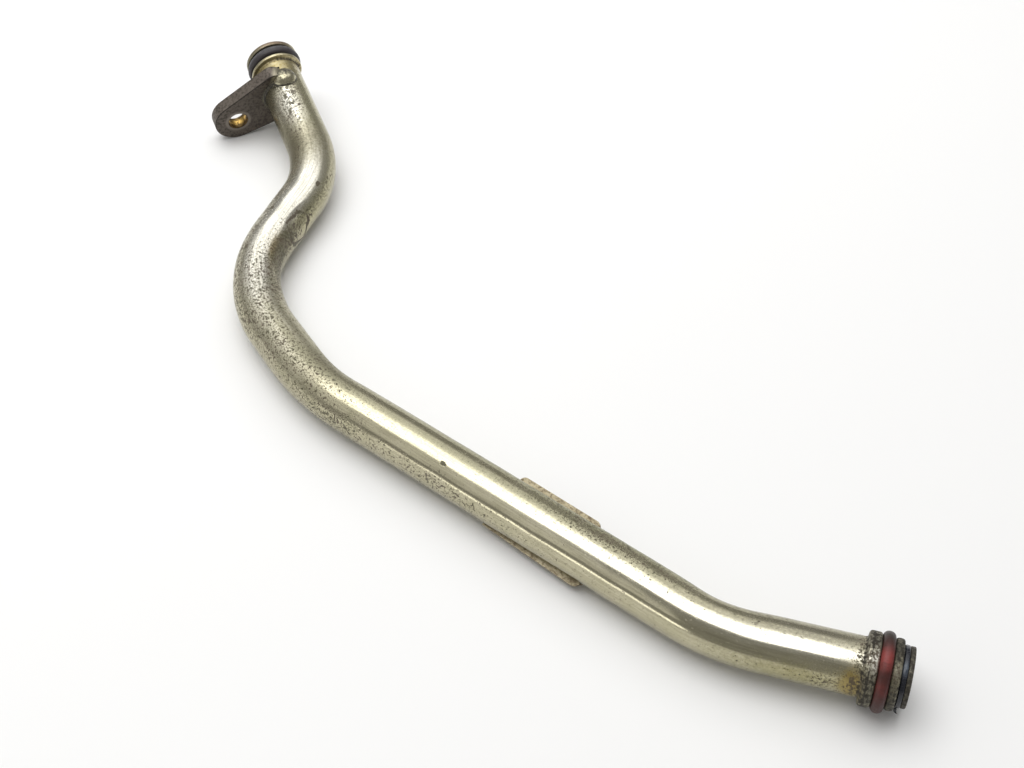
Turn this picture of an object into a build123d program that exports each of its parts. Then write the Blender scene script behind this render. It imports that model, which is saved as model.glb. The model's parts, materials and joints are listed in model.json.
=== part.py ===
from build123d import *
import os
from math import asin, cos, degrees, radians, sin

os.makedirs("parts", exist_ok=True)

# A turbocharger oil return line: a bent steel tube with rolled ends, three seals, a brazed fork-shaped
# ear with a bolt hole, and a thin pressed saddle under its long straight run. It lies as it comes to rest,
# on the saddle, the ear and the big O-ring. X runs along the long straight run, Z is up, and lengths are mm.

# Tube
tube_radius = 8.0
tube_wall = 1.5
rim_chamfer = 0.5

# Route of the centreline from corner to corner. Runs are measured in plan, headings in degrees from X,
# and the two ends lift off the plane that the rest of the route lies in.
upper_run = 56.1
second_run = 59.6
third_run = 52.5
long_run = 143.8
lower_run = 50.6
upper_heading = -29.6
second_heading = -74.4
third_heading = -19.9
lower_heading = 20.1
upper_lift = 10.4
lower_lift = 2.27
first_bend_radius = 37.0
second_bend_radius = 48.0
third_bend_radius = 88.0
fourth_bend_radius = 71.5

# Dent in the side of the second run that faces the hollow of the line, measured back from the second corner
dent_distance = 33.0
dent_depth = 0.8
dent_ball_radius = 14.0

# Rolled form of the upper end, from the rim inwards: lip, O-ring groove and shoulder
lip_rounding = 0.3
upper_lip_radius = 9.45
upper_lip_width = 1.6
upper_groove_width = 4.5
upper_groove_radius = 7.2
upper_shoulder_radius = 9.35
upper_shoulder_width = 1.3

# Rolled form of the lower end, from the rim inwards: lip, seal groove, outer bead, O-ring groove, inner bead
lower_lip_radius = 8.1
lower_lip_width = 1.3
seal_groove_radius = 7.1
seal_groove_width = 1.6
outer_bead_radius = 9.5
outer_bead_width = 2.4
outer_bead_rounding = 0.7
lower_groove_radius = 7.5
lower_groove_width = 3.4
inner_bead_radius = 9.95
inner_bead_width = 3.3
inner_bead_rounding = 0.6

# Seals. The upper O-ring has been pressed flat, and the lower one nearly fills its groove.
ring_seat_gap = 0.05
upper_ring_width = 3.4
upper_ring_height = 2.6
lower_ring_width = 3.3
lower_ring_height = 3.2
seal_width = 1.5
seal_height = 1.1
seal_rounding = 0.4

# Mounting ear, a plate square to the upper run. It leans down towards the floor on its outer side.
ear_thickness = 5.0
ear_station = 15.0
ear_dip = 22.9
ear_hole_reach = 20.3
ear_hole_radius = 3.4
ear_hole_chamfer = 0.3
ear_end_reach = 20.6
ear_end_radius = 8.3
prong_radius = 4.0
prong_offset = 1.2
ear_half_width = 11.35
ear_edge_rounding = 0.4

# Braze: a film and a small fillet round the seat, and a domed pool over each prong's tip
braze_gap = 0.1
braze_leg = 1.1
pool_angle = 112.0
pool_shift = 2.0
pool_spread = 4.1
pool_height = 2.6

# Saddle, a thin sheet pressed to a trough with lips, rolled a little way round the tube
saddle_sheet = 0.8
saddle_roll = 24.0
saddle_lip_drop = 1.6
saddle_press_radius = 0.6
saddle_start = 70.3
near_lip_length = 34.9
far_lip_setback = 2.4
far_lip_length = 27.4
near_lip_start_reach = 8.5
near_lip_end_reach = 9.9
far_lip_start_reach = 9.75
far_lip_end_reach = 9.45
near_lip_corner = 2.4
far_lip_corner = 1.8

bore_radius = tube_radius - tube_wall
axis_height = tube_radius + saddle_sheet


def circles(edges, radius):
    """The edges that are circles, or arcs, of one radius."""
    return edges.filter_by(GeomType.CIRCLE).filter_by(lambda edge: abs(edge.radius - radius) < 1e-6)


def travel(start, run, heading, lift=0.0):
    """The point a run further on from a start, along a heading in plan, and lifted."""
    turn = radians(heading)
    return start + Vector(run * cos(turn), run * sin(turn), lift)


# Corners of the route, worked outwards from the long straight run
corner_3 = Vector(0, 0, axis_height)
corner_4 = travel(corner_3, long_run, 0)
lower_tip = travel(corner_4, lower_run, lower_heading, lower_lift)
corner_2 = travel(corner_3, -third_run, third_heading)
corner_1 = travel(corner_2, -second_run, second_heading)
upper_tip = travel(corner_1, -upper_run, upper_heading, upper_lift)


def inward_plane(tip, corner, dip):
    """The plane at a tube's rim. Z runs into the tube, and X leans down by a dip to the right of Z."""
    into = (corner - tip).normalized()
    side = into.cross(Vector(0, 0, 1)).normalized()
    down = into.cross(side)
    lean = radians(dip)
    return Plane(origin=tip, x_dir=side * cos(lean) + down * sin(lean), z_dir=into)


def turning_plane(end):
    """The plane through an end's axis in which a turned form is drawn: X outwards, Y into the tube."""
    return Plane(origin=end.origin, x_dir=end.x_dir, z_dir=end.x_dir.cross(end.z_dir))


upper_end = inward_plane(upper_tip, corner_1, ear_dip)
lower_end = inward_plane(lower_tip, corner_4, 0)

# Stations of the rolled forms, from the rim inwards
upper_groove_end = upper_lip_width + upper_groove_width
upper_form_end = upper_groove_end + upper_shoulder_width
seal_groove_end = lower_lip_width + seal_groove_width
outer_bead_end = seal_groove_end + outer_bead_width
lower_groove_end = outer_bead_end + lower_groove_width
lower_form_end = lower_groove_end + inner_bead_width


def form_outline(lands):
    """A rolled end in section: lands given as (radius, station where the land ends), rim first."""
    points = [(bore_radius + rim_chamfer, 0)]
    station = 0
    for radius, land_end in lands:
        points += [(radius, station), (radius, land_end)]
        station = land_end
    return points + [(bore_radius, station), (bore_radius, rim_chamfer)]


upper_lands = [
    (upper_lip_radius, upper_lip_width),
    (upper_groove_radius, upper_groove_end),
    (upper_shoulder_radius, upper_form_end),
]
lower_lands = [
    (lower_lip_radius, lower_lip_width),
    (seal_groove_radius, seal_groove_end),
    (outer_bead_radius, outer_bead_end),
    (lower_groove_radius, lower_groove_end),
    (inner_bead_radius, lower_form_end),
]
upper_roundings = {upper_lip_radius: lip_rounding, upper_shoulder_radius: lip_rounding}
lower_roundings = {
    lower_lip_radius: lip_rounding,
    outer_bead_radius: outer_bead_rounding,
    inner_bead_radius: inner_bead_rounding,
}

# Pipe: the tube swept between the two rolled forms, and the forms turned about its ends
with BuildLine() as route:
    FilletPolyline(
        upper_tip + upper_end.z_dir * upper_form_end,
        corner_1,
        corner_2,
        corner_3,
        corner_4,
        lower_tip + lower_end.z_dir * lower_form_end,
        radius=[first_bend_radius, second_bend_radius, third_bend_radius, fourth_bend_radius],
    )

dent_reach = tube_radius - dent_depth + dent_ball_radius
dent_foot = travel(corner_2, -dent_distance, second_heading)
dent_centre = travel(dent_foot, dent_reach, second_heading + 90)

with BuildPart() as pipe:
    with BuildSketch(upper_end.offset(upper_form_end)):
        Circle(tube_radius)
        Circle(bore_radius, mode=Mode.SUBTRACT)
    sweep(path=route.line)
    for end, lands, roundings in (
        (upper_end, upper_lands, upper_roundings),
        (lower_end, lower_lands, lower_roundings),
    ):
        with BuildSketch(turning_plane(end)) as rolled_form:
            with BuildLine():
                Polyline(*form_outline(lands), close=True)
            make_face()
            for radius, rounding in roundings.items():
                fillet(rolled_form.vertices().filter_by_position(Axis.X, radius, radius), radius=rounding)
        revolve(axis=Axis(end.origin, end.z_dir))
    with Locations(dent_centre):
        Sphere(dent_ball_radius, mode=Mode.SUBTRACT)
pipe.part.label = "pipe"


def ring(end, station, groove_radius, width, height):
    """An O-ring on the floor of a groove, its section's centre at a station of the end."""
    with BuildPart() as o_ring:
        with BuildSketch(turning_plane(end)):
            with Locations((groove_radius + ring_seat_gap + height / 2, station)):
                Ellipse(height / 2, width / 2)
        revolve(axis=Axis(end.origin, end.z_dir))
    return o_ring


upper_ring_station = upper_lip_width + upper_groove_width / 2
upper_o_ring = ring(upper_end, upper_ring_station, upper_groove_radius, upper_ring_width, upper_ring_height)
upper_o_ring.part.label = "upper_o_ring"

lower_ring_station = outer_bead_end + lower_groove_width / 2
lower_o_ring = ring(lower_end, lower_ring_station, lower_groove_radius, lower_ring_width, lower_ring_height)
lower_o_ring.part.label = "lower_o_ring"

# Black seal behind the lower lip, square inside and rounded outside
with BuildPart() as lower_lip_seal:
    with BuildSketch(turning_plane(lower_end)) as seal_section:
        with Locations((seal_groove_radius + ring_seat_gap, lower_lip_width + seal_groove_width / 2)):
            Rectangle(seal_height, seal_width, align=(Align.MIN, Align.CENTER))
        fillet(seal_section.vertices().group_by(Axis.X)[-1], radius=seal_rounding)
    revolve(axis=Axis(lower_end.origin, lower_end.z_dir))
lower_lip_seal.part.label = "lower_lip_seal"

# Mounting ear: the hull of its round outer end and of the two prongs, forked round the tube
seat_radius = tube_radius + braze_gap
half_plate = ear_thickness / 2
ear_plane = upper_end.offset(ear_station)
ear_axis = Axis(ear_plane.origin, ear_plane.z_dir)
prong_centre = ear_half_width - prong_radius
with BuildPart() as mounting_ear:
    with BuildSketch(ear_plane.offset(-half_plate)):
        with Locations((ear_end_reach, 0)):
            Circle(ear_end_radius)
        with Locations((prong_offset, prong_centre), (prong_offset, -prong_centre)):
            Circle(prong_radius)
        make_hull()
        Circle(seat_radius, mode=Mode.SUBTRACT)
        with Locations((ear_hole_reach, 0)):
            Circle(ear_hole_radius, mode=Mode.SUBTRACT)
    extrude(amount=ear_thickness)
    rims = mounting_ear.faces().filter_by(ear_axis).edges()
    hole_rims = circles(rims, ear_hole_radius)
    outer_rims = rims - hole_rims - circles(rims, seat_radius)
    chamfer(hole_rims, length=ear_hole_chamfer)
    fillet(outer_rims, radius=ear_edge_rounding)
mounting_ear.part.label = "mounting_ear"

# Copper braze: a film in the ear's seat and a hollow fillet on both of its faces, round the tube from one
# prong's tip to the other's and open on the side away from the hole. A pool is the cap of a sphere on the tube.
prong_reach = prong_radius - prong_offset
braze_half_angle = 90 + degrees(asin(prong_reach / tube_radius))
braze_start = Plane(ear_plane.location * Rotation(0, 0, -braze_half_angle))
pool_radius = (pool_spread**2 + pool_height**2) / (2 * pool_height)
pool_depth = tube_radius + pool_height - pool_radius
with BuildPart() as ear_braze:
    with BuildSketch(turning_plane(braze_start)):
        with BuildLine():
            RadiusArc((tube_radius, half_plate + braze_leg), (tube_radius + braze_leg, half_plate), -braze_leg)
            Polyline((tube_radius + braze_leg, half_plate), (seat_radius, half_plate), (seat_radius, 0))
            Line((tube_radius, 0), (tube_radius, half_plate + braze_leg))
            mirror(about=Plane.XZ)
        make_face()
    revolve(axis=ear_axis, revolution_arc=2 * braze_half_angle)
    with Locations(ear_plane.offset(pool_shift)):
        with PolarLocations(pool_depth, 2, -pool_angle, 2 * pool_angle, endpoint=True):
            Sphere(pool_radius)
        Cylinder(tube_radius, ear_thickness + 2 * pool_radius, mode=Mode.SUBTRACT)
    add(mounting_ear.part, mode=Mode.SUBTRACT)
ear_braze.part.label = "ear_braze"

# Saddle: its section drawn square to the tube, then trimmed to the plan of its lips
roll = radians(saddle_roll)
saddle_across = Vector(0, cos(roll), sin(roll))
saddle_up = Vector(0, -sin(roll), cos(roll))
section_plane = Plane(origin=(0, 0, axis_height), x_dir=saddle_across, z_dir=(1, 0, 0))
plan_plane = Plane(origin=(0, 0, axis_height), x_dir=(1, 0, 0), z_dir=saddle_up)
trough_radius = tube_radius + saddle_sheet
widest_reach = max(near_lip_start_reach, near_lip_end_reach, far_lip_start_reach, far_lip_end_reach)
far_lip_start = saddle_start + far_lip_setback
with BuildPart() as saddle:
    with BuildSketch(section_plane.offset(saddle_start)) as trough:
        Circle(trough_radius)
        with Locations((0, -saddle_lip_drop)):
            Rectangle(2 * trough_radius, 2 * trough_radius, align=(Align.CENTER, Align.MIN), mode=Mode.SUBTRACT)
            Rectangle(2 * widest_reach, saddle_sheet, align=(Align.CENTER, Align.MAX))
        bends = [v for v in trough.vertices() if abs(v.X) < trough_radius and v.Y < -saddle_lip_drop]
        fillet(bends, radius=saddle_press_radius)
        Circle(tube_radius, mode=Mode.SUBTRACT)
    extrude(amount=near_lip_length)
    with BuildSketch(plan_plane.offset(-trough_radius)) as lip_plan:
        with BuildLine():
            near_start = (saddle_start, -near_lip_start_reach)
            near_end = (saddle_start + near_lip_length, -near_lip_end_reach)
            far_end = (far_lip_start + far_lip_length, far_lip_end_reach)
            far_start = (far_lip_start, far_lip_start_reach)
            Polyline(near_start, near_end, far_end, far_start, close=True)
        make_face()
        ends = lip_plan.vertices().sort_by(Axis.X)
        fillet(ends[-1], radius=near_lip_corner)
        fillet(lip_plan.vertices().sort_by(Axis.Y)[-2:], radius=far_lip_corner)
    extrude(amount=trough_radius, mode=Mode.INTERSECT)
saddle.part.label = "saddle"

# The origin is the middle of the whole line's box in plan, at the surface that it lies on
pieces = [pipe, mounting_ear, ear_braze, saddle, upper_o_ring, lower_o_ring, lower_lip_seal]
boxes = [piece.part.bounding_box() for piece in pieces]
low_x = min(box.min.X for box in boxes)
high_x = max(box.max.X for box in boxes)
low_y = min(box.min.Y for box in boxes)
high_y = max(box.max.Y for box in boxes)
floor = min(box.min.Z for box in boxes)
to_origin = Location((-(low_x + high_x) / 2, -(low_y + high_y) / 2, -floor))
for piece in pieces:
    placed = piece.part.moved(to_origin)
    placed.label = piece.part.label
    export_step(placed, f"parts/{placed.label}.step")
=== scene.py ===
import json
from math import radians

import bpy
import numpy as np
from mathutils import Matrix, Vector


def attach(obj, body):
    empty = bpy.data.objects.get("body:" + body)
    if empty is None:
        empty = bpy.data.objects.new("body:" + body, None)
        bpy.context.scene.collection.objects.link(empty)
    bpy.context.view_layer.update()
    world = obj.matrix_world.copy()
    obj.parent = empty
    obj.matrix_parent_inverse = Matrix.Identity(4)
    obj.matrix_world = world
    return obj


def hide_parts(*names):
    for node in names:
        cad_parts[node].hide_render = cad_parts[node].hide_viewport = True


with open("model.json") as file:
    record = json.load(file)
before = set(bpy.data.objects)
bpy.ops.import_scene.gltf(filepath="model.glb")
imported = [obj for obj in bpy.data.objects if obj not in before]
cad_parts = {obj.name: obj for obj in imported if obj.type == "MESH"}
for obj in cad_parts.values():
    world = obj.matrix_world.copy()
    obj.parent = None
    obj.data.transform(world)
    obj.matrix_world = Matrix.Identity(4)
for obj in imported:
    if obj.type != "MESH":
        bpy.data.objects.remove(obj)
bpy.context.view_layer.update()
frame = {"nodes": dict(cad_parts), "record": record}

# A turbocharger oil return line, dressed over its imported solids. Sizes are millimetres until a mesh
# is made. A station is a distance along the tube's centreline from its upper tip. An angle round the
# tube starts at the right-hand side of the way down the tube, and 90 degrees is its top.
MM = 0.001
MOUNTS = {mount["name"]: mount for mount in frame["record"]["mounts"]}

TUBE_RADIUS = 8.0
BORE_RADIUS = MOUNTS["upper_mouth"]["dims"]["r_mm"]

# Route of the centreline: runs in plan, headings in degrees from X, and what each run climbs
RUNS = np.array([56.1, 59.6, 52.5, 143.8, 50.6])
HEADINGS = np.radians([-29.6, -74.4, -19.9, 0.0, 20.1])
CLIMBS = np.array([-10.4, 0.0, 0.0, 0.0, 2.27])
BEND_RADII = np.array([37.0, 48.0, 88.0, 71.5])
UPPER_SPIGOT_MIDDLE = 0.8

# Ear's middle and half thickness, and the sphere that the braze pool is a cap of
EAR_STATION = 15.0
EAR_HALF = 2.5
POOL_STATION = 17.0
POOL_DEPTH = 6.07
POOL_RADIUS = 4.53

# Ends of the pipe. A lip, groove or bead is its first and last distance from the tube's end, its
# radius, and the roundings of its two edges.
RIM = 0.5
RIM_ROUNDING = 0.2
FOOT_ROUNDING = 0.5
UPPER_FORMS = (
    (0, 1.6, 9.45, 0.5, 0.4),
    (1.65, 6.05, 7.2, 0.3, 0.3),
    (6.1, 7.4, 9.35, 0.45, 0.5),
)
UPPER_FOOT = 7.7
LOWER_FORMS = (
    (0, 1.25, 8.1, 0.35, 0.3),
    (1.3, 2.9, 7.1, 0.3, 0.3),
    (2.95, 5.25, 9.5, 0.9, 0.9),
    (5.3, 8.7, 7.5, 0.4, 0.4),
    (8.75, 12.0, 9.95, 0.85, 0.95),
)
LOWER_FOOT = 12.3

# How far from its tip each end's profile reaches on the tube and in the bore, and from where to
# where, upper tip first, plain rows of tube and bore join the two ends and the tube is uneven
UPPER_PROFILE_END = 12
LOWER_PROFILE_END = 18
BORE_PROFILE_END = 6
PLAIN_TUBE_ENDS = (12.6, 18.3)
PLAIN_BORE_ENDS = (8, 9)
UNEVEN_ENDS = (8, 14)
UNEVEN_FADING = 3

# Fineness of the meshes: how far apart rows lie, and how many points go round
END_SPACING = 0.35
TUBE_SPACING = 0.75
BORE_SPACING = 4.0
PIPE_SIDES = 120
RING_SIDES = 160
RING_SECTION_POINTS = 28
LASH_ROWS = 16
LASH_SIDES = 12

# Studio: each lamp's name, middle and size in metres and brightness, and the grey round them
LAMPS = (
    ("overhead_lamp", (-0.265, -0.06, 1.0), (1.07, 0.88), 2.65),
    ("left_lamp", (-1.31, -0.95, 1.05), (2.0, 3.5), 0.50),
    ("back_lamp", (-0.4, 0.92, 1.0), (1.9, 1.05), 1.08),
)
LOW_LAMP = ("low_lamp", (-0.42, -1.70, 0.12), (0.74, 0.18), 2.5)
SURROUNDING = (0.305, 0.301, 0.293)
FLOOR_COLOUR = (0.885, 0.885, 0.882)
FLOOR_REACH = 3.0

# Photograph's camera: focal length in pixels, place in metres, tilt and turn in degrees
IMAGE_WIDTH = 1024
FOCAL_PIXELS = 1425.3
CAMERA_PLACE = (0.183668, -0.243262, 0.3371)
CAMERA_TILT = 41.2
CAMERA_TURN = 37.178


class Route:
    """The centreline: straight runs joined by tangent arcs, read at any station."""

    def __init__(self, points, radii):
        """An arc cuts radius * tan(turn / 2) off both runs that meet at its corner."""
        steps = np.diff(points, axis=0)
        lengths = np.linalg.norm(steps, axis=1)
        ways = steps / lengths[:, None]
        turns = np.arccos(np.sum(ways[:-1] * ways[1:], axis=1))
        cuts = np.concatenate([[0], radii * np.tan(turns / 2), [0]])
        self.stretches = []
        self.corners = []
        station = 0.0
        for i, way in enumerate(ways):
            start = points[i] + way * cuts[i]
            straight = lengths[i] - cuts[i] - cuts[i + 1]
            self.stretches.append((station, station + straight, start, way, None, 0))
            station += straight
            if i < len(turns):
                inward = (ways[i + 1] - way * np.cos(turns[i])) / np.sin(turns[i])
                arc = radii[i] * turns[i]
                bend = start + way * straight
                self.stretches.append((station, station + arc, bend, way, inward, radii[i]))
                self.corners.append(station + arc / 2)
                station += arc
        self.length = station

    def at(self, stations):
        """Place, direction, right-hand side and top at stations. On an arc, the place is
        start + radius * (way * sin a + inward * (1 - cos a)), where a is the distance over the
        radius."""
        place = np.zeros((len(stations), 3))
        along = np.zeros((len(stations), 3))
        for begin, end, start, way, inward, radius in self.stretches:
            here = (stations >= begin - 1e-9) & (stations <= end + 1e-9)
            run = (stations[here] - begin)[:, None]
            if inward is None:
                place[here] = start + way * run
                along[here] = way
            else:
                angle = run / radius
                sine, cosine = np.sin(angle), np.cos(angle)
                place[here] = start + radius * (way * sine + inward * (1 - cosine))
                along[here] = way * cosine + inward * sine
        side = np.cross(along, [0, 0, 1])
        side /= np.linalg.norm(side, axis=1)[:, None]
        return place, along, side, np.cross(side, along)


def find_route():
    """The route from the frame's upper spigot on, each corner a run further than the last."""
    spigot = MOUNTS["upper_spigot"]
    tip = np.array(spigot["pos_m"]) / MM + np.array(spigot["axis"]) * UPPER_SPIGOT_MIDDLE
    steps = np.stack([RUNS * np.cos(HEADINGS), RUNS * np.sin(HEADINGS), CLIMBS], axis=1)
    return Route(tip + np.vstack([np.zeros(3), np.cumsum(steps, axis=0)]), BEND_RADII)


ROUTE = find_route()
LENGTH = ROUTE.length


def rounded_outline(knots, spacing, arc_points=5):
    """A polyline in (station, radius) with its corners rounded. A knot is (station, radius, rounding).
    A corner is the curve (1 - t)^2 * start + 2 t (1 - t) * corner + t^2 * end, whose ends lie
    rounding / tan(half the corner's angle) from it. Straights are cut up to the spacing."""
    points = np.array([knot[:2] for knot in knots], float)
    outline = [points[:1]]
    for before, here, after, knot in zip(points, points[1:], points[2:], knots[1:]):
        back, on = before - here, after - here
        reach = min(np.linalg.norm(back), np.linalg.norm(on))
        back /= np.linalg.norm(back)
        on /= np.linalg.norm(on)
        half = np.arccos(np.clip(back @ on, -1, 1)) / 2
        tangent = min(knot[2] / np.tan(half), reach * 0.49)
        share = np.linspace(0, 1, arc_points)[:, None]
        start, end = here + back * tangent, here + on * tangent
        outline.append((1 - share) ** 2 * start + 2 * share * (1 - share) * here + share**2 * end)
    outline.append(points[-1:])
    outline = np.vstack(outline)
    filled = [outline[:1]]
    for start, end in zip(outline, outline[1:]):
        count = max(1, int(np.ceil(np.linalg.norm(end - start) / spacing)))
        filled.append(start + (end - start) * (np.arange(1, count + 1) / count)[:, None])
    return np.vstack(filled)


def torus_faces(rows, columns):
    """Quads of a grid that closes both ways. They face outwards where the rows run down the route
    on the outside and back on the inside, and the columns go from its right-hand side to its top."""
    row, column = np.meshgrid(np.arange(rows), np.arange(columns), indexing="ij")
    next_row, next_column = (row + 1) % rows, (column + 1) % columns
    quads = [row * columns + column, next_row * columns + column,
             next_row * columns + next_column, row * columns + next_column]
    return np.stack(quads, axis=-1).reshape(-1, 4)


def add_piece(name, points, faces, material, slot, replaced, **attributes):
    """A smooth mesh from millimetres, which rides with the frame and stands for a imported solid. Each
    attribute is one value or one vector a point."""
    mesh = bpy.data.meshes.new(name)
    mesh.from_pydata(points * MM, [], faces)
    mesh.shade_smooth()
    for label, values in attributes.items():
        kind, field = ("FLOAT_VECTOR", "vector") if values.ndim == 2 else ("FLOAT", "value")
        attribute = mesh.attributes.new(label, kind, "POINT")
        attribute.data.foreach_set(field, values.astype(np.float32).ravel())
    mesh.materials.append(material)
    piece = bpy.data.objects.new(name, mesh)
    bpy.context.scene.collection.objects.link(piece)
    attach(piece, "root")
    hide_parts(replaced)


def carry(outline, angles, shape=None):
    """A closed outline of (station, radius) carried round the route: place + radius * (side * cos a +
    top * sin a). A shape function may change the radius. Also gives each point's station, angle and
    radius."""
    place, along, side, top = (row[:, None, :] for row in ROUTE.at(np.clip(outline[:, 0], 0, LENGTH)))
    station, angle = np.meshgrid(outline[:, 0], angles, indexing="ij")
    radius = np.repeat(outline[:, 1:], len(angles), axis=1)
    if shape is not None:
        radius = shape(station, angle, radius)
    round_way = side * np.cos(angle)[..., None] + top * np.sin(angle)[..., None]
    beyond = outline[:, 0] - np.clip(outline[:, 0], 0, LENGTH)
    points = place + along * beyond[:, None, None] + round_way * radius[..., None]
    return points.reshape(-1, 3), station.ravel(), angle.ravel(), radius.ravel()


def turn_from(angle, degrees):
    """How far an angle lies from one in degrees, the short way round."""
    return np.angle(np.exp(1j * (angle - radians(degrees))))


def patches(station, angle, spots):
    """The sum of soft spots. Each is (station, degrees, length, width in degrees, amount), and fades
    as exp(-(distance / length)^2 - (turn / width)^2)."""
    total = np.zeros_like(station)
    for middle, degrees, length, width, amount in spots:
        turn = turn_from(angle, degrees)
        fading = ((station - middle) / length) ** 2 + (turn / radians(width)) ** 2
        total += amount * np.exp(-fading)
    return total


def oval(station, angle, middle, degrees, length, width, turn):
    """Distance from the middle of an oval on the tube, 1 at its edge: sqrt((u / length)^2 +
    (v / width)^2), where u runs along the tube and v round it, both turned by an angle."""
    run = station - middle
    rise = TUBE_RADIUS * turn_from(angle, degrees)
    slope = radians(turn)
    return np.hypot((run * np.cos(slope) - rise * np.sin(slope)) / length,
                    (run * np.sin(slope) + rise * np.cos(slope)) / width)


def mark_amounts(station, angle):
    """How dark the single marks are: full inside a spot and on a ring's line, and fading beside both.
    A wobble of a sine wave keeps a ring from being a drawn oval."""
    total = np.zeros_like(station)
    for *place, darkness in MARKS:
        spot = (1.35 - oval(station, angle, *place)) * 1.6
        total = np.maximum(total, darkness * np.clip(spot, 0, 1))
    wobble = 0.10 * np.sin(0.9 * station + 3 * angle)
    for *place, darkness in RING_MARKS:
        line = 1.3 - np.abs(oval(station, angle, *place) + wobble - 1) * 6
        total = np.maximum(total, darkness * np.clip(line, 0, 1))
    return total


def band(station, start, end, softness=0.3):
    """1 between two stations and 0 outside, with straight ramps centred on both."""
    into = np.clip((station - start) / softness + 0.5, 0, 1)
    return into * np.clip((end - station) / softness + 0.5, 0, 1)


def lobe(angle, degrees, width):
    """1 at an angle round the tube, and fading as exp(-(turn / width)^2) to both sides of it."""
    return np.exp(-(turn_from(angle, degrees) / radians(width)) ** 2)


def nowhere(station, angle):
    """0 at every point."""
    return np.zeros_like(station)


class Socket:
    """A socket in a material. Arithmetic on it adds Math nodes."""

    def __init__(self, paint, output):
        self.paint = paint
        self.output = output

    def math(self, operation, *others, clamp=False):
        settings = {"operation": operation, "use_clamp": clamp}
        return self.paint.node("ShaderNodeMath", settings, dict(enumerate((self, *others))))

    def __add__(self, other):
        return self.math("ADD", other)

    def __radd__(self, other):
        return self.math("ADD", other)

    def __sub__(self, other):
        return self.math("SUBTRACT", other)

    def __rsub__(self, other):
        return self.paint.node("ShaderNodeMath", {"operation": "SUBTRACT"}, {0: other, 1: self})

    def __mul__(self, other):
        return self.math("MULTIPLY", other)

    def __rmul__(self, other):
        return self.math("MULTIPLY", other)

    def __truediv__(self, other):
        return self.math("DIVIDE", other)

    def clamped(self):
        """The value kept between 0 and 1."""
        return self.math("ADD", 0.0, clamp=True)

    def away(self):
        """How far the value lies from 0."""
        return self.math("ABSOLUTE")

    def most(self, other):
        """The larger of the two values."""
        return self.math("MAXIMUM", other)

    def above(self, level, softness):
        """0 below the level and 1 above it, with a soft step."""
        return ((self - level) / softness + 0.5).clamped()


class Paint:
    """A material: its constants, its links, and the one method that adds a node. An input's keyword
    is its name in the Principled shader, in small letters and underscores."""

    def __init__(self, name, **constants):
        self.material = bpy.data.materials.new(name)
        self.material.use_nodes = True
        self.tree = self.material.node_tree
        self.shader = self.tree.nodes["Principled BSDF"]
        self.finish(**constants)

    def node(self, kind, settings, inputs, output=0):
        made = self.tree.nodes.new(kind)
        for label, value in settings.items():
            setattr(made, label, value)
        for label, value in inputs.items():
            self.join(value, made.inputs[label])
        return Socket(self, made.outputs[output])

    def join(self, value, target):
        if isinstance(value, Socket):
            self.tree.links.new(value.output, target)
        else:
            target.default_value = value

    def attribute(self, name, output="Fac"):
        return self.node("ShaderNodeAttribute", {"attribute_name": name}, {}, output)

    def place(self):
        return self.node("ShaderNodeTexCoord", {}, {}, "Object")

    def vector(self, operation, first, second=(0, 0, 0), output="Vector"):
        inputs = {0: first, 1: second}
        return self.node("ShaderNodeVectorMath", {"operation": operation}, inputs, output)

    def stretched(self, vector, scale):
        return self.vector("MULTIPLY", vector, scale)

    def about_axis(self, place, origin, way):
        """How far along an axis a point lies, and how far from it, in millimetres."""
        offset = self.vector("SUBTRACT", place, tuple(origin))
        along = self.vector("DOT_PRODUCT", offset, tuple(way), "Value")
        across = self.vector("CROSS_PRODUCT", offset, tuple(way))
        return along / MM, self.vector("LENGTH", across, output="Value") / MM

    def distance(self, place, point):
        """How far from a point another lies, in millimetres."""
        offset = self.vector("SUBTRACT", place, tuple(point))
        return self.vector("LENGTH", offset, output="Value") / MM

    def noise(self, vector, size, detail, roughness):
        """Noise whose blotches are about a size in millimetres across."""
        values = {"Vector": vector, "Scale": 1 / (size * MM), "Detail": detail, "Roughness": roughness}
        return self.node("ShaderNodeTexNoise", {}, values)

    def mix(self, factor, low, high):
        """A colour between two colours."""
        low, high = (c if isinstance(c, Socket) else (*c, 1.0) for c in (low, high))
        settings = {"data_type": "RGBA"}
        return self.node("ShaderNodeMix", settings, {0: factor, 6: low, 7: high}, 2)

    def bump(self, height, depth, strength):
        """A normal bent by a height, where 1 is a depth in millimetres."""
        values = {"Height": height, "Distance": depth * MM, "Strength": strength}
        return self.node("ShaderNodeBump", {}, values)

    def finish(self, **inputs):
        for label, value in inputs.items():
            name = label.replace("_", " ").title().replace("Ior", "IOR")
            self.join(value, self.shader.inputs[name])
        return self.material


# Colours of the plating, from its two tones and its painted highlight to the dirt and painted shade on
# it
PALE_PLATING = (0.56, 0.522, 0.380)
OLIVE_PLATING = (0.475, 0.445, 0.304)
PAINTED_HIGHLIGHT_PLATING = (0.92, 0.895, 0.80)
GRAIN_SHADE = (0.22, 0.20, 0.13)
STREAK_SHADE = (0.24, 0.215, 0.145)
BROWN_PIT = (0.070, 0.050, 0.028)
OLIVE_PIT = (0.068, 0.060, 0.028)
DIRT_AND_SHADE = (0.028, 0.024, 0.017)

# Colours of the ear
DARK_STEEL = (0.095, 0.077, 0.062)
LIGHT_STEEL = (0.165, 0.140, 0.115)
STEEL_SPECK = (0.030, 0.024, 0.018)
STRAY_PLATING = (0.42, 0.385, 0.285)
RUBBED_STEEL = (0.26, 0.225, 0.19)
# painted shade on the ear's rounded edges
EDGE_SHADE = (0.022, 0.018, 0.015)
HOLE_GOLD = (0.70, 0.46, 0.13)
GOLD_SPECK = (0.10, 0.06, 0.02)
HOLE_SHADE = (0.07, 0.045, 0.02)

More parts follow.
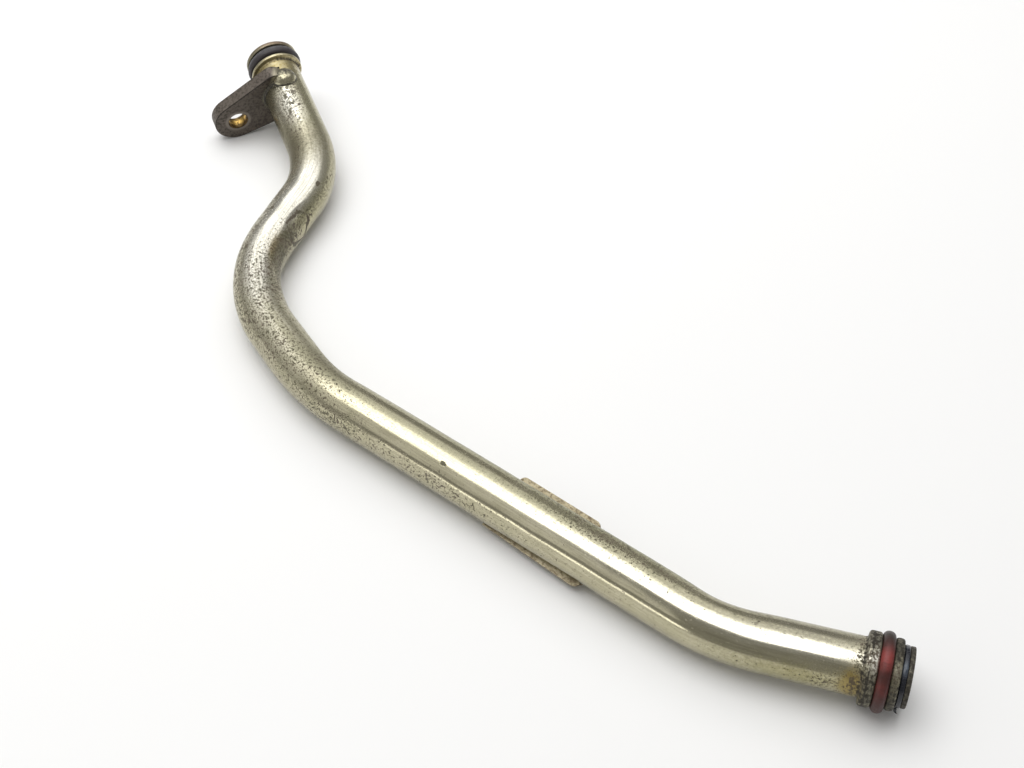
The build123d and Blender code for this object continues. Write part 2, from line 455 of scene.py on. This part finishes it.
# Colours of the saddle
TAN_SHEET = (0.38, 0.335, 0.225)
STAINED_SHEET = (0.25, 0.213, 0.137)
SHEET_SPECK = (0.095, 0.066, 0.034)


def plating(paint, skin, pitting, film, film_tint, grime, dullness, clean, marks=0.0):
    """Worn yellowish plating, paler where painted highlights are laid on. Pits, and dirt with painted
    shade, follow noise whose level each amount lowers.
    """
    grain = paint.noise(skin, 0.42, 3.0, 0.62)
    pits = paint.noise(skin, 0.9, 4.0, 0.64)
    clouds = paint.noise(skin, 6.0, 3.0, 0.55)
    streaks = paint.noise(paint.stretched(skin, (0.04, 1.0, 1.0)), 0.5, 2.0, 0.5)
    small_pits = grain.above(0.70 - pitting * 0.066, 0.05)
    large_pits = pits.above(0.70 - pitting * 0.077, 0.04) * 0.95
    marked = ((pits - 0.5) * 1.2 + marks).above(0.72, 0.25)
    pitted = small_pits.most(large_pits).most(marked)
    dirt_and_shade = (grime + (pits - 0.5) * 1.2 * (grime * 4).clamped()).above(0.5, 0.35)
    filmed = (film * 1.3 + (pits - 0.5) * 1.6 * (film * 4).clamped()).clamped()
    tint = paint.mix(clouds.above(0.5, 0.5), PALE_PLATING, OLIVE_PLATING)
    # painted highlight: paler plating where the highlight bands fall
    tint = paint.mix(clean, tint, PAINTED_HIGHLIGHT_PLATING)
    tint = paint.mix(grain.above(0.53, 0.22) * (0.16 + pitting * 0.14), tint, GRAIN_SHADE)
    tint = paint.mix(streaks.above(0.55, 0.22) * 0.36, tint, STREAK_SHADE)
    tint = paint.mix(filmed * 0.85, tint, film_tint)
    pit_tint = paint.mix(clouds.above(0.52, 0.1), BROWN_PIT, OLIVE_PIT)
    tint = paint.mix(pitted * 0.93, tint, pit_tint)
    # dirt, and painted shade in creases and grooves, darken the plating together
    tint = paint.mix(dirt_and_shade * 0.95, tint, DIRT_AND_SHADE)
    rough = 0.15 + dullness * 0.26 + (streaks - 0.5) * 0.12
    rough = rough + pitted * 0.3 + filmed * 0.12 + dirt_and_shade * 0.3
    relief = grain * 0.25 - pitted * 0.9 + dirt_and_shade * 0.3
    return paint.finish(
        base_color=tint,
        metallic=(1 - pitted * 0.8 - dirt_and_shade * 0.8 - filmed * 0.3).clamped(),
        roughness=rough.clamped(),
        normal=paint.bump(relief, 0.06, 0.6),
    )


def plated_steel():
    """The pipe's plating. The mesh says where it is pitted, filmed, dirty and in painted shade, dull,
    lit by painted highlights and marked.
    """
    paint = Paint("plated_steel")
    return plating(
        paint,
        paint.attribute("unrolled", "Vector"),
        pitting=paint.attribute("pitting"),
        film=paint.attribute("film"),
        film_tint=paint.attribute("film_tint", "Vector"),
        grime=paint.attribute("grime"),
        dullness=paint.attribute("dullness"),
        clean=paint.attribute("clean"),
        marks=paint.attribute("marks"),
    )


def braze_metal(tip, way, pool):
    """Braze: plated over the pool, dark like the ear elsewhere, with painted shade in the creases
    along the tube and along the ear."""
    paint = Paint("braze_metal")
    skin = paint.place()
    along, away = paint.about_axis(skin, tip, way)
    bare = (POOL_RADIUS + 0.9 - paint.distance(skin, pool)).above(0.0, 0.5)
    beside_tube = (8.65 - away).above(0.0, 0.4)
    beside_ear = (EAR_HALF + 0.35 - (along - EAR_STATION).away()).above(0.0, 0.4)
    # painted shade in the creases beside the tube and beside the ear
    crease_shade = beside_tube.most(beside_ear * 0.8)
    return plating(paint, skin, pitting=1.0, film=(1 - bare) + bare * 0.18, film_tint=DRAB,
                   grime=crease_shade * 0.7, dullness=0.2, clean=0.0)


def ear_steel(hole, hole_way, pool):
    """Dark oily steel, with the bolt hole's yellow plating, the paler ring that a bolt head has
    rubbed, painted shade along its rounded edges, and the plating that runs on to it from the braze
    pool."""
    paint = Paint("ear_steel")
    place = paint.place()
    along, away = paint.about_axis(place, hole, hole_way)
    blotch = paint.noise(place, 3.5, 4.0, 0.6)
    specks = paint.noise(place, 1.0, 4.0, 0.65)
    normal = paint.node("ShaderNodeNewGeometry", {}, {}, "Normal")
    facing = paint.vector("DOT_PRODUCT", normal, tuple(hole_way), "Value").away()
    # painted shade: darker where the surface turns between the rim and the faces
    edge_shade = (0.37 - (facing - 0.58).away()).above(0.0, 0.12)
    tint = paint.mix(blotch.above(0.5, 0.5), DARK_STEEL, LIGHT_STEEL)
    tint = paint.mix(specks.above(0.53, 0.12) * 0.75, tint, STEEL_SPECK)
    beyond_pool = POOL_RADIUS + 1.3 - paint.distance(place, pool)
    plated = (beyond_pool + (blotch - 0.5) * 2.0).above(0.0, 1.0)
    tint = paint.mix(plated * 0.8, tint, STRAY_PLATING)
    rubbed = (4.75 - away + (specks - 0.5) * 2.0).above(0.0, 0.5)
    tint = paint.mix(rubbed * 0.75, tint, RUBBED_STEEL)
    tint = paint.mix(edge_shade * 0.85, tint, EDGE_SHADE)
    inside = (3.62 - away).above(0.0, 0.12)
    gold = paint.mix(specks.above(0.54, 0.12), HOLE_GOLD, GOLD_SPECK)
    gold = paint.mix((along.away() - 0.9).above(0.0, 1.2) * 0.9, gold, HOLE_SHADE)
    tint = paint.mix(inside, tint, gold)
    return paint.finish(
        base_color=tint,
        metallic=(0.50 + inside * 0.4 + plated * 0.4).clamped(),
        roughness=(0.40 + blotch * 0.25 - inside * 0.15 - plated * 0.15).clamped(),
        normal=paint.bump(specks * 0.7 + blotch * 0.6, 0.05, 0.6),
    )


def saddle_steel():
    """Tan plated sheet with brown specks."""
    paint = Paint("saddle_steel")
    place = paint.place()
    specks = paint.noise(place, 0.7, 4.0, 0.65)
    stains = paint.noise(place, 4.0, 3.0, 0.6)
    tint = paint.mix(stains.above(0.5, 0.4), TAN_SHEET, STAINED_SHEET)
    tint = paint.mix(specks.above(0.54, 0.1) * 0.8, tint, SHEET_SPECK)
    return paint.finish(base_color=tint, metallic=0.75, roughness=0.34 + specks * 0.25,
                        normal=paint.bump(specks, 0.04, 0.5))


def rubber(name, fresh, worn, dark, roughness, sheen=0.5):
    """Rubber that is lighter where the piece puts wear and painted sheen, and darker where it puts
    dirt, with fine cracks.
    """
    paint = Paint(name, specular_ior_level=sheen)
    skin = paint.attribute("unrolled", "Vector")
    wear_and_sheen_amount = paint.attribute("worn")
    dark_amount = paint.attribute("dark")
    blotch = paint.noise(skin, 1.8, 4.0, 0.6)
    grain = paint.noise(skin, 0.45, 3.0, 0.6)
    cracks = paint.noise(paint.stretched(skin, (0.16, 1.0, 1.0)), 0.38, 2.0, 0.5)
    cracks = cracks.above(0.585, 0.05)
    patchy = (blotch - 0.5) * 1.8 * (wear_and_sheen_amount * 4).clamped()
    tint = paint.mix((wear_and_sheen_amount * 1.4 + patchy).clamped(), fresh, worn)
    patchy = (blotch - 0.5) * 1.2 * (dark_amount * 4).clamped()
    tint = paint.mix((dark_amount + patchy).clamped(), tint, dark)
    tint = paint.mix(cracks * wear_and_sheen_amount.clamped() * 0.6, tint, dark)
    return paint.finish(
        base_color=tint,
        roughness=(roughness + (blotch - 0.5) * 0.3 + cracks * 0.15).clamped(),
        normal=paint.bump(grain * 0.6 + blotch * 0.6 - cracks * 0.5, 0.06, 0.6),
    )


# The seal's torn end: how far back from the tube's end, radius and degrees round it, at its start,
# bend and tip
TORN_TAIL = ((2.3, 8.1, -30), (2.5, 9.6, -39), (1.5, 9.7, -34))
TAIL_THICKNESS = 0.42

# The dent in the second run and the flattened inner walls of three bends: station, degrees round the
# tube, length, width in degrees, depth
DENTS = (
    (ROUTE.corners[1] - 29, 155, 5.5, 30, 1.35),
    (ROUTE.corners[1] - 6, 180, 11.0, 45, 0.9),
    (ROUTE.corners[2] + 3, 175, 10.0, 40, 0.85),
    (ROUTE.corners[3] - 1, 172, 9.5, 42, 1.0),
)
# Where the plating is pitted, in the same terms, with an amount instead of a depth
PITTED = (
    (27, 70, 12, 50, 2.2),
    (18, 125, 12, 40, 0.8),
    (46, 60, 9, 40, 0.9),
    (75, 52, 25, 18, 1.9),
    (100, 150, 18, 30, 2.0),
    (92, 172, 8, 20, 1.2),
    (70, 156, 16, 20, 1.7),
    (218, 14, 14, 16, 0.6),
    (338, 10, 8, 26, 0.9),
    (80, 62, 22, 14, 0.9),
    (ROUTE.corners[1] + 2, 150, 20, 30, 1.6),
    (ROUTE.corners[1] + 4, 42, 20, 25, 0.8),
    (ROUTE.corners[1], 55, 20, 60, 1.4),
    (ROUTE.corners[1] + 4, 105, 14, 30, 0.8),
    (ROUTE.corners[1] + 22, 60, 20, 90, 1.2),
    (ROUTE.corners[2] - 6, 60, 20, 90, 1.2),
    (ROUTE.corners[2] + 16, 110, 16, 40, 0.9),
    (ROUTE.corners[2] + 16, 10, 18, 50, 1.1),
    (ROUTE.corners[2] + 50, 5, 40, 40, 0.9),
    (ROUTE.corners[2] + 90, 5, 60, 30, 0.5),
    (ROUTE.corners[2] + 70, 125, 50, 30, 0.6),
    (ROUTE.corners[2] + 100, 112, 30, 26, 1.9),
    (ROUTE.corners[3] - 10, 120, 30, 40, 0.8),
    (ROUTE.corners[3] + 22, 125, 20, 40, 0.7),
    (ROUTE.corners[3] + 25, 5, 20, 35, 0.7),
    (LENGTH - 13, 60, 2.2, 120, 2.2),
    (LENGTH - 10.4, 100, 1.8, 120, 2.2),
    (LENGTH - 4.1, 100, 1.4, 140, 2.4),
    (LENGTH - 0.5, 60, 1.2, 140, 2.0),
)
MOST_PITTING = 2.1
# Where rubbing and handling have dulled it, in the same terms
DULLED = (
    (48, 90, 14, 180, 0.6),
    (ROUTE.corners[1] + 4, 90, 16, 180, 0.4),
    (ROUTE.corners[1] + 32, 90, 18, 180, 0.6),
    (ROUTE.corners[2], 90, 12, 180, 0.5),
    (LENGTH - 8, 90, 8, 180, 0.8),
    (4, 90, 8, 180, 0.6),
)
# Where the plating is painted paler along the highlight bands, a painted highlight, in the same terms
PAINTED_HIGHLIGHTS = (
    (29, 76, 9, 36, 1.0),
    (84, 101, 25, 31, 2.2),
    (ROUTE.corners[1] + 2, 88, 14, 28, 1.2),
    (ROUTE.corners[1] + 30, 82, 18, 34, 0.35),
    (ROUTE.corners[3] - 30, 72, 40, 14, 0.5),
    (LENGTH - 30, 72, 24, 15, 0.9),
    (LENGTH - 9.5, 72, 0.8, 20, 1.2),
    (LENGTH - 4.0, 58, 0.9, 9, 0.9),
)
# Films on it: station, degrees, length, width in degrees, amount, colour
OLIVE = (0.235, 0.225, 0.105)
OCHRE = (0.34, 0.235, 0.045)
RUST = (0.150, 0.092, 0.062)
DRAB = (0.125, 0.110, 0.066)
GREY = (0.16, 0.15, 0.13)
STRAW = (0.30, 0.285, 0.19)
YELLOW = (0.40, 0.35, 0.15)
FILMED = (
    (0.8, 100, 1.0, 45, 0.9, RUST),
    (0.8, 10, 1.2, 50, 0.8, DRAB),
    (8, 100, 1.0, 180, 0.35, OCHRE),
    (11, 90, 3.0, 70, 0.35, OCHRE),
    (18, 20, 9, 32, 0.9, DRAB),
    (32, 10, 14, 25, 0.45, DRAB),
    (50, 35, 14, 35, 0.85, DRAB),
    (ROUTE.corners[1] - 14, 150, 12, 22, 0.9, DRAB),
    (ROUTE.corners[2] + 60, 142, 60, 22, 0.65, OLIVE),
    (ROUTE.corners[2] + 110, 138, 36, 24, 0.70, OLIVE),
    (47, 105, 11, 40, 0.50, DRAB),
    (ROUTE.corners[2] + 60, 94, 110, 12, 0.75, STRAW),
    (74, 152, 20, 26, 0.50, OLIVE),
    (103, 124, 8, 10, 0.45, OCHRE),
    (100, 150, 22, 20, 0.40, DRAB),
    (ROUTE.corners[1] + 36, 85, 20, 40, 0.30, STRAW),
    (28, 125, 14, 26, 0.50, OLIVE),
    (ROUTE.corners[3] + 25, 110, 20, 25, 0.4, GREY),
    (ROUTE.corners[3] + 22, 10, 22, 30, 0.35, OLIVE),
    (LENGTH - 14.5, 15, 2.4, 32, 1.3, OCHRE),
    (LENGTH - 27, 14, 12, 24, 0.28, YELLOW),
    (ROUTE.corners[2] - 1, 112, 11, 38, 0.38, DRAB),
    (12, 60, 4, 60, 0.25, YELLOW),
    (LENGTH - 4.2, 60, 1.4, 200, 0.9, DRAB),
    (LENGTH - 10.5, 60, 1.6, 200, 0.5, GREY),
    (LENGTH - 0.4, 60, 1.0, 200, 0.9, DRAB),
)
# Dirt in the bore, and bands round both ends. The upper end's bands are painted shade in the
# groove, beside the shoulder and at its foot; the lower end's are dirt on the lip and beads, painted
# shade in the grooves and at the foot, and a painted highlight where a bead loses dirt at one angle.
# Each is its first and last distance from the tube's end, softness, amount, and what the amount
# gains or loses at an angle in degrees, of a width in degrees
BORE_DIRT = 0.72
# painted shade in the seal's groove, beside the shoulder and at the shoulder's foot
UPPER_SHADE = (
    (1.75, 5.95, 0.2, 1.0, 0.0, 0, 1),
    (6.0, 6.35, 0.2, 0.6, 0.0, 0, 1),
    (7.5, 8.7, 0.5, 0.35, 0.35, 140, 60),
)
# dirt on the lip and beads, painted shade in the grooves and at the foot, and a painted highlight
# where a bead loses dirt at one angle
LOWER_DIRT_AND_SHADE = (
    (-0.5, 1.3, 0.2, 0.68, 0.0, 0, 1),
    (1.4, 2.8, 0.2, 1.0, 0.0, 0, 1),
    (2.8, 5.4, 0.2, 0.64, -0.42, 58, 15),
    (5.4, 8.6, 0.2, 1.0, 0.0, 0, 1),
    (8.6, 11.9, 0.3, 0.60, -0.55, 72, 20),
    (10.75, 11.05, 0.2, 0.4, 0.0, 0, 1),
    (11.9, 12.9, 0.6, 0.6, 0.0, 0, 1),
)
# Single dark marks: station, degrees, half length, half width, turn in degrees, darkness
MARKS = (
    (67.4, 131, 1.5, 0.9, 0, 1.0),
    (85.0, 68, 1.3, 1.0, 0, 0.9),
    (24.6, 94, 1.2, 0.8, 0, 0.9),
    (15.2, 128, 1.2, 0.7, 10, 0.8),
    (27.6, 100, 0.8, 0.5, 0, 0.8),
    (122.0, 44, 8.0, 0.35, -4, 0.7),
    (97.0, 137, 8.0, 1.8, 6, 0.74),
    (110.0, 130, 9.0, 1.7, 3, 0.73),
    (123.0, 130, 10.0, 2.0, 6, 0.70),
    (100.0, 156, 9.0, 1.8, 2, 0.68),
    (84.0, 126, 5.0, 0.6, 3, 0.8),
    (103.5, 58, 1.9, 1.2, 0, 0.85),
    (107.0, 105, 1.2, 0.6, 10, 0.7),
    (101.5, 102, 1.3, 0.4, 30, 0.7),
    (21.8, 86, 1.7, 1.0, 20, 0.8),
    (25.4, 72, 1.5, 1.0, 0, 0.9),
    (29.5, 84, 1.5, 0.7, 30, 0.8),
    (33.2, 68, 1.7, 1.1, 0, 0.85),
    (31.0, 96, 1.0, 0.7, 0, 0.8),
    (37.0, 82, 1.2, 0.8, 0, 0.7),
    (166.0, 73, 5.0, 0.25, 3, 0.7),
    (194.5, 10, 1.0, 0.7, 30, 0.8),
    (161.5, 105, 1.4, 1.0, 0, 0.7),
    (217.2, 62, 1.3, 0.8, 0, 1.0),
    (217.6, 40, 0.5, 1.7, 0, 0.7),
    (207.4, 15, 0.7, 0.5, 0, 0.8),
    (227.6, 77, 0.9, 0.3, 0, 0.7),
    (248.8, 81, 1.2, 0.35, -12, 0.6),
    (260.0, 108, 2.2, 1.0, 0, 0.8),
    (277.0, 118, 2.0, 0.9, 0, 0.8),
    (281.0, 108, 1.2, 0.6, 0, 0.7),
    (302.0, 63, 1.4, 0.6, 0, 0.6),
    (316.5, 93, 1.4, 0.7, 0, 0.7),
    (343.0, 30, 0.8, 1.4, 20, 0.9),
)
# Marks that are only an outline, in the same terms
RING_MARKS = (
    (137.0, 82, 1.8, 0.7, 12, 0.55),
    (17.2, 88, 4.5, 4.1, 0, 0.6),
    (86.0, 162, 6.0, 5.0, 0, 1.0),
    (87.0, 160, 3.2, 2.4, 20, 0.95),
)


def tube_shape(station, angle, radius):
    """The radius less the dents and a faint unevenness of crossed sine waves, both of which fade out
    before the ends."""
    ripple = np.sin(station * 0.37 + 2 * angle) * np.sin(station * 0.11 - angle) * 0.03
    body = np.clip((station - UNEVEN_ENDS[0]) / UNEVEN_FADING, 0, 1)
    body = body * np.clip((LENGTH - UNEVEN_ENDS[1] - station) / UNEVEN_FADING, 0, 1)
    return radius - (patches(station, angle, DENTS) + ripple) * body


def pipe_dirt_and_shade(station, angle, inside):
    """How dark the skin is made: dirt in the bore, and dirt and painted shade in the bands round both
    ends.
    """
    grime = np.where(inside, BORE_DIRT, 0.0)
    for distance, rows in ((station, UPPER_SHADE), (LENGTH - station, LOWER_DIRT_AND_SHADE)):
        for start, end, softness, amount, gain, degrees, width in rows:
            amount = amount + gain * lobe(angle, degrees, width)
            grime += band(distance, start, end, softness) * amount
    return grime


def end_knots(forms, foot, profile_end):
    """One end's knots, from the bore over its rim and forms to the tube. Stations are distances
    from the tip."""
    knots = [(BORE_PROFILE_END, BORE_RADIUS, 0), (RIM, BORE_RADIUS, RIM_ROUNDING),
             (0, BORE_RADIUS + RIM, RIM_ROUNDING)]
    for start, end, radius, first_rounding, last_rounding in forms:
        knots += [(start, radius, first_rounding), (end, radius, last_rounding)]
    return [*knots, (foot, TUBE_RADIUS, FOOT_ROUNDING), (profile_end, TUBE_RADIUS, 0)]


def straight_rows(start, end, spacing, radius):
    """Rows of a plain tube or bore, from one station up or down to another."""
    stations = np.arange(start, end, spacing)
    return np.stack([stations, np.full_like(stations, radius)], axis=1)


def make_pipe():
    """The pipe as one closed skin: out over the upper spigot, down the tube, over the lower spigot
    and back through the bore."""
    upper = end_knots(UPPER_FORMS, UPPER_FOOT, UPPER_PROFILE_END)
    lower = end_knots(LOWER_FORMS, LOWER_FOOT, LOWER_PROFILE_END)
    lower = [(LENGTH - back, radius, rounding) for back, radius, rounding in reversed(lower)]
    tube_start, tube_back = PLAIN_TUBE_ENDS
    bore_end, bore_back = PLAIN_BORE_ENDS
    outline = np.vstack([
        rounded_outline(upper, END_SPACING),
        straight_rows(tube_start, LENGTH - tube_back, TUBE_SPACING, TUBE_RADIUS),
        rounded_outline(lower, END_SPACING),
        straight_rows(LENGTH - bore_back, bore_end, -BORE_SPACING, BORE_RADIUS),
    ])
    angles = np.linspace(0, 2 * np.pi, PIPE_SIDES, endpoint=False)
    points, station, angle, _ = carry(outline, angles, tube_shape)
    unrolled = np.stack([station, TUBE_RADIUS * np.cos(angle), TUBE_RADIUS * np.sin(angle)], axis=1)
    inside = np.repeat(outline[:, 1], len(angles)) < BORE_RADIUS + 0.4
    amounts = np.stack([patches(station, angle, [film[:5]]) for film in FILMED])
    film = amounts.sum(axis=0)
    film_tint = amounts.T @ np.array([film[5] for film in FILMED]) / (film[:, None] + 1e-9)
    film_tint[inside] = DRAB
    add_piece(
        "pipe_skin", points, torus_faces(len(outline), len(angles)), plated_steel(), "plated_steel",
        "pipe",
        unrolled=unrolled * MM,
        pitting=np.minimum(patches(station, angle, PITTED), MOST_PITTING),
        film=np.where(inside, 1.0, film),
        film_tint=film_tint,
        # dirt, and painted shade round the ends
        grime=pipe_dirt_and_shade(station, angle, inside),
        dullness=patches(station, angle, DULLED),
        # painted highlights along the highlight bands
        clean=np.clip(patches(station, angle, PAINTED_HIGHLIGHTS), 0, 1),
        marks=np.where(inside, 0.0, mark_amounts(station, angle)),
    )


def make_ring(name, node, slot, material, station, floor_radius, width, height, squareness,
              worn, dark):
    """A seal in its groove: a loop of a superellipse, |x|^n + |y|^n = 1, carried round the tube. The
    last two are functions of station and angle that say where it is lighter from wear and painted
    sheen, and where it is darker."""
    loop = np.linspace(0, 2 * np.pi, RING_SECTION_POINTS, endpoint=False)
    across, out = np.cos(loop), np.sin(loop)
    across = np.sign(across) * np.abs(across) ** (2 / squareness)
    out = np.sign(out) * np.abs(out) ** (2 / squareness)
    middle = floor_radius + height / 2
    outline = np.stack([station - across * width / 2, middle + out * height / 2], axis=1)
    angles = np.linspace(0, 2 * np.pi, RING_SIDES, endpoint=False)

    def uneven(station, angle, radius):
        """The outer half's radius with a ripple of 0.05 * sin(5a + 1.3) * sin(2a)."""
        return radius + (radius > middle) * 0.05 * np.sin(5 * angle + 1.3) * np.sin(2 * angle)

    points, stations, angle, radius = carry(outline, angles, uneven)
    unrolled = np.stack([stations, radius * np.cos(angle), radius * np.sin(angle)], axis=1)
    add_piece(name, points, torus_faces(len(outline), len(angles)), material, slot, node,
              unrolled=unrolled * MM, worn=worn(stations, angle), dark=dark(stations, angle))


def red_wear_and_light(station, angle):
    """Where the red O-ring is brighter red, partly from wear and partly painted light: on top, and a
    little on its camera side.
    """
    return lobe(angle, 80, 16) * 0.75 + lobe(angle, 30, 22) * 0.2


def red_dirt(station, angle):
    """Where the red O-ring is dirty: on its far side, above and below, and in two fainter streaks."""
    far_side = lobe(angle, 135, 38) + lobe(angle, 200, 40) * 0.9
    return far_side + lobe(angle, 48, 9) * 0.35 + lobe(angle, 5, 30) * 0.3


def make_torn_tail(material):
    """The seal's torn end: a closed lash that bends away from the lip. Its middle line is
    (1 - t)^2 * start + 2 t (1 - t) * bend + t^2 * tip. Its thickness goes with sqrt(1 - t^2), and
    with sqrt(8 t) near the start, so both ends close to a point."""
    share = np.linspace(0, 1, LASH_ROWS)[:, None]
    start, bend, tip = (
        np.array([LENGTH - back, radius, radians(degrees)]) for back, radius, degrees in TORN_TAIL
    )
    middle = (1 - share) ** 2 * start + 2 * share * (1 - share) * bend + share**2 * tip
    thick = TAIL_THICKNESS * np.sqrt(1 - share**2) * np.sqrt(np.minimum(1, share * 8))
    round_lash = np.linspace(0, 2 * np.pi, LASH_SIDES, endpoint=False)
    place, along, side, top = ROUTE.at(middle[:, 0])
    way = side * np.cos(middle[:, 2:]) + top * np.sin(middle[:, 2:])
    centre = place + way * middle[:, 1:2]
    across = np.cross(way, along)
    cosine, sine = np.cos(round_lash)[:, None], np.sin(round_lash)[:, None]
    offset = along[:, None] * cosine + across[:, None] * sine
    rings = centre[1:-1, None] + offset[1:-1] * thick[1:-1, None]
    points = np.vstack([centre[:1], rings.reshape(-1, 3), centre[-1:]])
    count = LASH_SIDES
    here = np.arange(count)
    beside = (here + 1) % count
    last = 1 + (len(rings) - 1) * count
    rows = 1 + np.arange(len(rings) - 1)[:, None] * count
    quads = [rows + here, rows + beside, rows + count + beside, rows + count + here]
    quads = np.stack(quads, axis=-1).reshape(-1, 4)
    start_cap = np.stack([np.zeros(count, int), 1 + beside, 1 + here], axis=-1)
    end_cap = np.stack([last + here, last + beside, np.full(count, len(points) - 1)], axis=-1)
    faces = [*quads.tolist(), *start_cap.tolist(), *end_cap.tolist()]
    none = np.zeros(len(points))
    add_piece("torn_seal_tail", points, faces, material, "black_rubber", "lower_lip_seal",
              unrolled=points * MM, worn=none, dark=none)


def dress(node, material):
    """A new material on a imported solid."""
    mesh = frame["nodes"][node].data
    mesh.materials.clear()
    mesh.materials.append(material)


def add_light(name, place, aim, size, power):
    """A soft rectangular lamp that looks at a point."""
    data = bpy.data.lights.new(name, "AREA")
    data.shape = "RECTANGLE"
    data.size, data.size_y = size
    data.energy = power
    lamp = bpy.data.objects.new(name, data)
    lamp.location = place
    lamp.rotation_euler = (Vector(aim) - Vector(place)).to_track_quat("-Z", "Y").to_euler()
    bpy.context.scene.collection.objects.link(lamp)


def make_floor():
    """A plain pale floor."""
    colour = (*FLOOR_COLOUR, 1.0)
    paint = Paint("pale_floor", base_color=colour, roughness=0.9, specular_ior_level=0.0)
    mesh = bpy.data.meshes.new("floor")
    corners = [(-1, -1), (1, -1), (1, 1), (-1, 1)]
    corners = [(x * FLOOR_REACH, y * FLOOR_REACH, 0) for x, y in corners]
    mesh.from_pydata(corners, [], [(0, 1, 2, 3)])
    mesh.materials.append(paint.material)
    floor = bpy.data.objects.new("floor", mesh)
    bpy.context.scene.collection.objects.link(floor)


def light_studio():
    """Soft lamps overhead, on the left and at the back that face straight down, a narrow low one in
    front that faces the object, and a plain grey surrounding. A lamp's power is its brightness times
    pi times its area."""
    world = bpy.data.worlds.new("studio")
    bpy.context.scene.world = world
    world.use_nodes = True
    world.node_tree.nodes["Background"].inputs["Color"].default_value = (*SURROUNDING, 1.0)
    for name, middle, size, brightness in (*LAMPS, LOW_LAMP):
        aim = (0, 0, middle[2]) if name == LOW_LAMP[0] else (middle[0], middle[1], 0)
        add_light(name, middle, aim, size, brightness * np.pi * size[0] * size[1])
    bpy.context.scene.view_settings.view_transform = "Standard"


def place_camera():
    """The photograph's camera, solved from the tube's outline and the circles of its ends."""
    data = bpy.data.cameras.new("camera")
    data.lens = FOCAL_PIXELS / IMAGE_WIDTH * data.sensor_width
    data.clip_start = 0.01
    camera = bpy.data.objects.new("camera", data)
    camera.location = CAMERA_PLACE
    camera.rotation_euler = (radians(CAMERA_TILT), 0, radians(CAMERA_TURN))
    bpy.context.scene.collection.objects.link(camera)
    bpy.context.scene.camera = camera


HOLE = MOUNTS["ear_bolt_hole"]
(TIP,), (UPPER_WAY,), _, (UPPER_TOP,) = ROUTE.at(np.zeros(1))
POOL = (TIP + UPPER_WAY * POOL_STATION + UPPER_TOP * POOL_DEPTH) * MM

make_pipe()
upper_black = rubber("upper_black_rubber", fresh=(0.030, 0.024, 0.026), worn=(0.080, 0.078, 0.082),
                     dark=(0.012, 0.012, 0.012), roughness=0.45)
lower_black = rubber("lower_black_rubber", fresh=(0.006, 0.007, 0.013), worn=(0.085, 0.105, 0.135),
                     dark=(0.004, 0.004, 0.007), roughness=0.20)
red = rubber("red_rubber", fresh=(0.055, 0.015, 0.012), worn=(0.250, 0.045, 0.040),
             dark=(0.028, 0.019, 0.015), roughness=0.42, sheen=0.32)
make_ring("black_o_ring", "upper_o_ring", "black_rubber", upper_black, station=3.85,
          floor_radius=7.25, width=3.4, height=2.6, squareness=2.2,
          worn=lambda station, angle: np.clip((4.0 - station) / 0.8, 0, 1), dark=nowhere)
make_ring("red_o_ring", "lower_o_ring", "red_rubber", red, station=LENGTH - 7.0,
          floor_radius=7.55, width=3.3, height=3.2, squareness=2.2, worn=red_wear_and_light, dark=red_dirt)
# the lower seal's bluish band near 72 degrees round it is a painted highlight
make_ring("black_lip_seal", "lower_lip_seal", "black_rubber", lower_black, station=LENGTH - 2.1,
          floor_radius=7.15, width=1.5, height=1.1, squareness=3.0,
          worn=lambda station, angle: lobe(angle, 72, 11) * 0.6, dark=nowhere)
make_torn_tail(lower_black)
dress("mounting_ear", ear_steel(HOLE["pos_m"], HOLE["axis"], POOL))
dress("ear_braze", braze_metal(TIP * MM, UPPER_WAY, POOL))
dress("saddle", saddle_steel())
make_floor()
light_studio()
place_camera()
